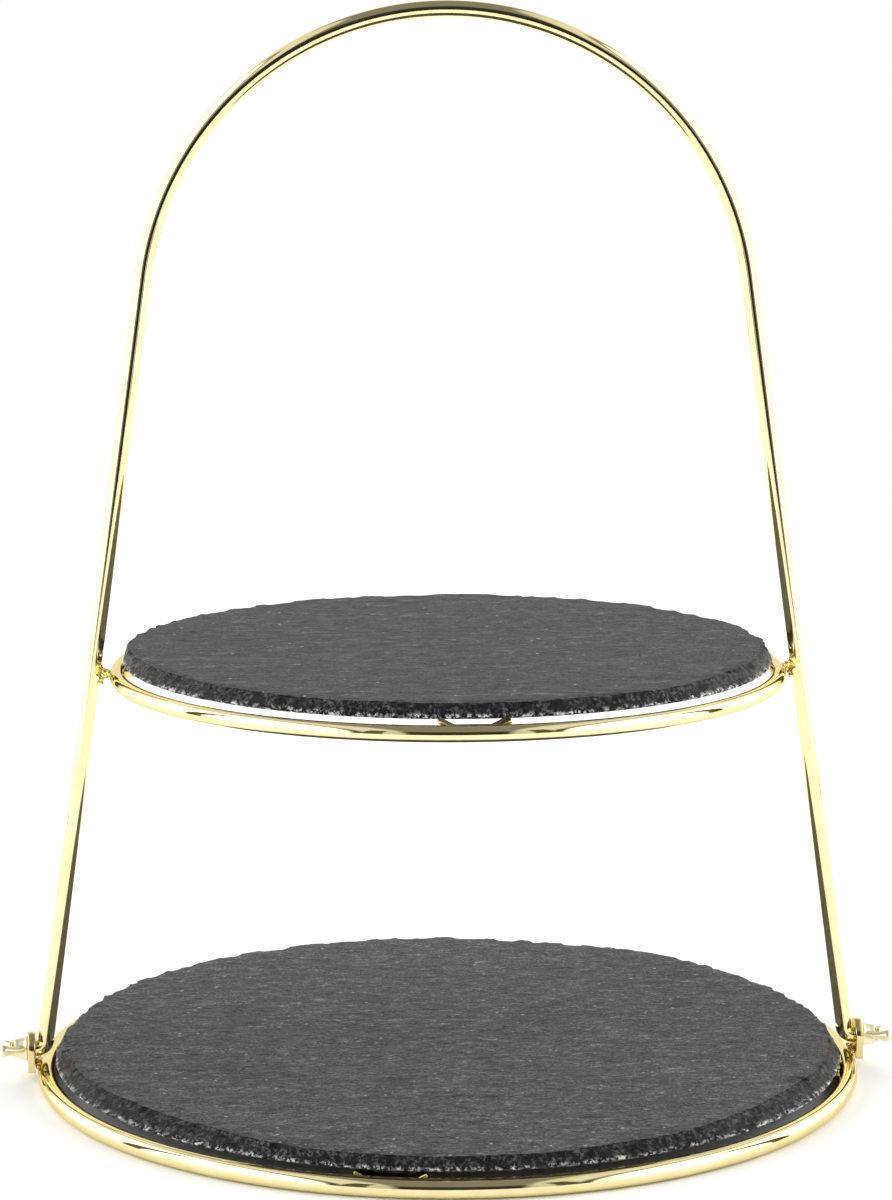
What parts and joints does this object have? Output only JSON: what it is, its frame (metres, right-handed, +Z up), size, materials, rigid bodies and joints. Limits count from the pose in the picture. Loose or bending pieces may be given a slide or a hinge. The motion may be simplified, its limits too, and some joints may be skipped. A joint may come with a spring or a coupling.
{
  "type": "tiered cake stand",
  "caption": "Tall wire arch on a ring base that carries round slate plates one above the other, clamped upright by wing nuts at its feet.",
  "frame": {"origin": "on the table under the middle of the base ring", "axes": "+Z up, +X to the right along the arch's pivot line, -Y to the front; the arch stands in the XZ plane"},
  "size_m": [0.2826, 0.259, 0.3353],
  "materials": {
    "gold_plated_wire": "polished",
    "gold_plated_sheet": "polished",
    "gold_plated_weld": "satin",
    "gold_plated_nut": "satin",
    "slate": "matte"
  },
  "bodies": {
    "base": {"base_ring": "gold_plated_wire", "base_right_clip": "gold_plated_sheet", "base_back_clip": "gold_plated_sheet", "base_left_clip": "gold_plated_sheet", "base_front_clip": "gold_plated_sheet", "left_lug": "gold_plated_sheet", "right_lug": "gold_plated_sheet", "left_lug_weld": "gold_plated_weld", "right_lug_weld": "gold_plated_weld"},
    "arch": {"arch_handle": "gold_plated_wire", "upper_ring": "gold_plated_wire", "upper_right_clip": "gold_plated_sheet", "upper_back_clip": "gold_plated_sheet", "upper_left_clip": "gold_plated_sheet", "upper_front_clip": "gold_plated_sheet", "upper_left_weld": "gold_plated_weld", "upper_right_weld": "gold_plated_weld"},
    "base_slate": {"base_slate": "slate"},
    "upper_slate": {"upper_slate": "slate"},
    "left_wing_nut": {"left_wing_nut": "gold_plated_nut"},
    "right_wing_nut": {"right_wing_nut": "gold_plated_nut"}
  },
  "joints": [
    {"name": "arch_tilt", "type": "hinge", "parent": "base", "child": "arch", "pos_m": [0, 0, 0.0092], "axis": [1, 0, 0], "range_deg": [-45, 45]},
    {"name": "left_nut_turn", "type": "hinge", "parent": "arch", "child": "left_wing_nut", "pos_m": [-0.135, 0, 0.0092], "axis": [-1, 0, 0], "range_deg": [0, 1080]},
    {"name": "right_nut_turn", "type": "hinge", "parent": "arch", "child": "right_wing_nut", "pos_m": [0.135, 0, 0.0092], "axis": [1, 0, 0], "range_deg": [0, 1080]},
    {"name": "base_slate_slide", "type": "slide", "parent": "base", "child": "base_slate", "axis": [0, -1, 0], "range_m": [0, 0.26]},
    {"name": "upper_slate_slide", "type": "slide", "parent": "arch", "child": "upper_slate", "axis": [0, 1, 0], "range_m": [0, 0.21]}
  ]
}
